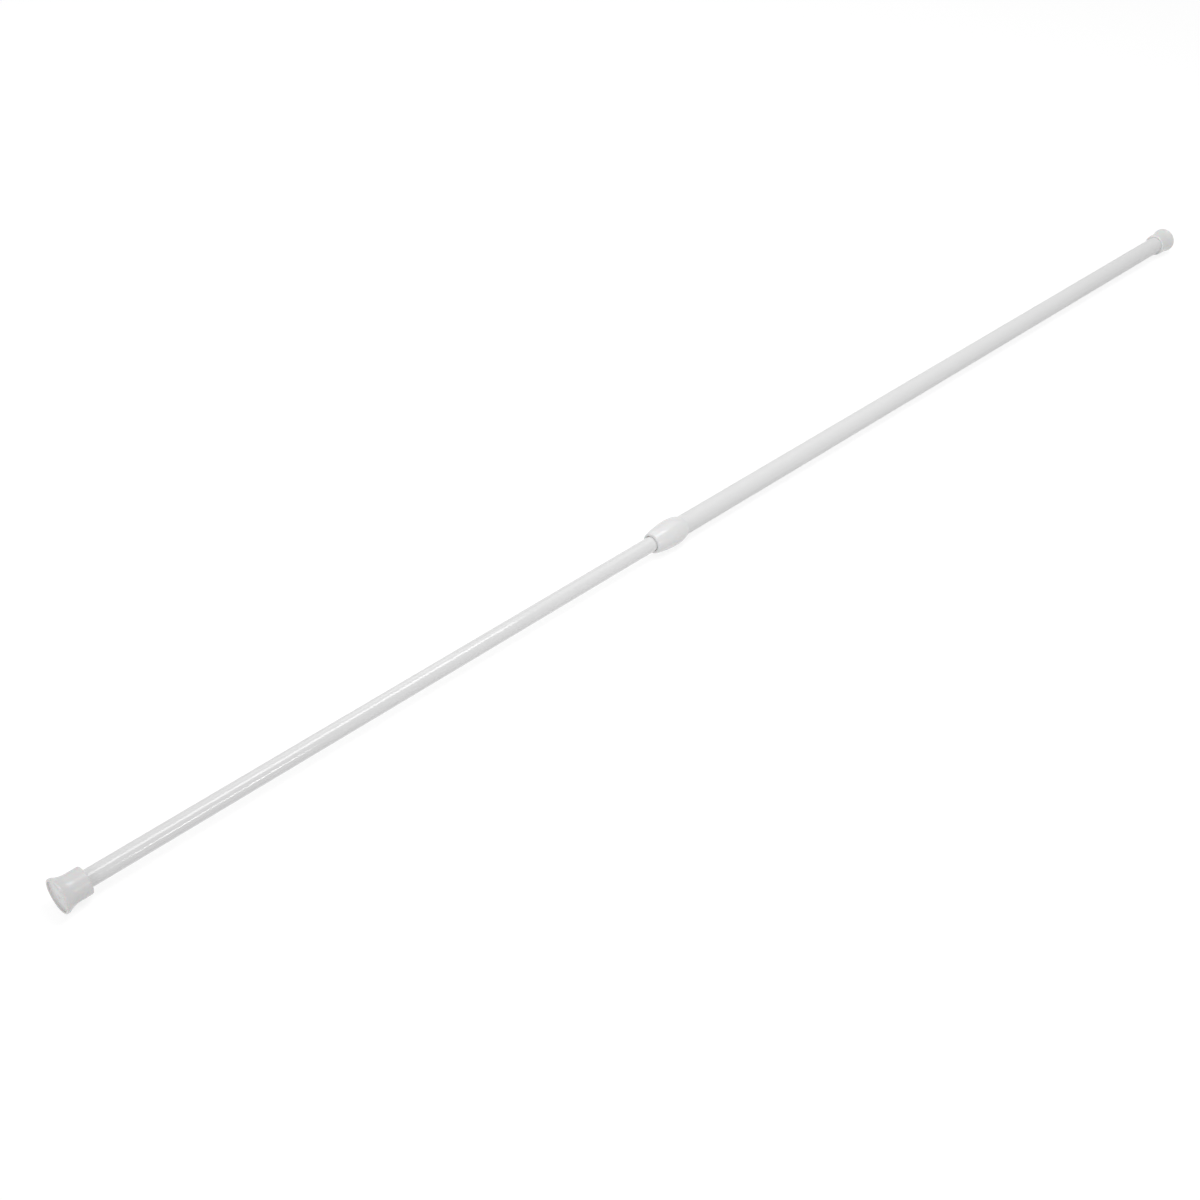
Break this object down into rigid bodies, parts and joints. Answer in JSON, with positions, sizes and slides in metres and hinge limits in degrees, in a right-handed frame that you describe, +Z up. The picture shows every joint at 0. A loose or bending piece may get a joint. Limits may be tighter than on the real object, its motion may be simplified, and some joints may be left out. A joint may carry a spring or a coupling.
{
  "type": "spring tension rod",
  "caption": "Telescopic white curtain rod that wedges between two walls: twist lock and spring inside, barrel collar at the joint, flanged rubber feet.",
  "frame": {"origin": "centre of the end face of the outer tube's foot, on the rod's axis", "axes": "+X along the rod's axis from the outer tube's foot to the inner tube's foot; +Z up when the rod spans a window"},
  "size_m": [1.014, 0.019, 0.019],
  "materials": {
    "outer_tube_paint": "satin white powder coat",
    "inner_tube_paint": "gloss white lacquer",
    "collar_plastic": "gloss white moulding",
    "foot_rubber": "matt greyish white, slightly translucent",
    "plug_plastic": "natural white moulding",
    "lock_plastic": "dark grey moulding",
    "ring_rubber": "matt black",
    "zinc_steel": "zinc plated",
    "spring_steel": "drawn wire"
  },
  "bodies": {
    "outer_rod": {"outer_tube": "outer_tube_paint", "joint_collar": "collar_plastic", "outer_foot": "foot_rubber", "outer_plug": "plug_plastic"},
    "lock": {"grip_sleeve": "lock_plastic", "garter_ring": "ring_rubber", "thrust_washer": "plug_plastic"},
    "nut": {"taper_nut": "lock_plastic"},
    "screw": {"spindle": "zinc_steel", "end_clip": "zinc_steel", "stop_washer": "zinc_steel", "stop_nut": "zinc_steel", "spring": "spring_steel"},
    "inner_rod": {"guide_bushing": "lock_plastic", "inner_tube": "inner_tube_paint", "inner_plug": "plug_plastic", "inner_foot": "foot_rubber"}
  },
  "joints": [
    {"name": "telescope", "type": "slide", "parent": "outer_rod", "child": "lock", "axis": [1, 0, 0], "range_m": [-0.362, 0.055]},
    {"name": "twist", "type": "hinge", "parent": "lock", "child": "screw", "pos_m": [0.42, 0, 0], "axis": [1, 0, 0], "range_deg": [0, 360]},
    {"name": "taper_draw", "type": "slide", "parent": "lock", "child": "nut", "axis": [1, 0, 0], "range_m": [-0.0015, 0]},
    {"name": "spring_push", "type": "slide", "parent": "screw", "child": "inner_rod", "axis": [1, 0, 0], "range_m": [-0.025, 0], "stiffness_N_per_m": 800, "springref_m": 0.0125, "deforming": ["spring"]}
  ],
  "couplings": [
    {"joint": "taper_draw", "follows": "twist", "m_per_rad": -0.00023873}
  ]
}
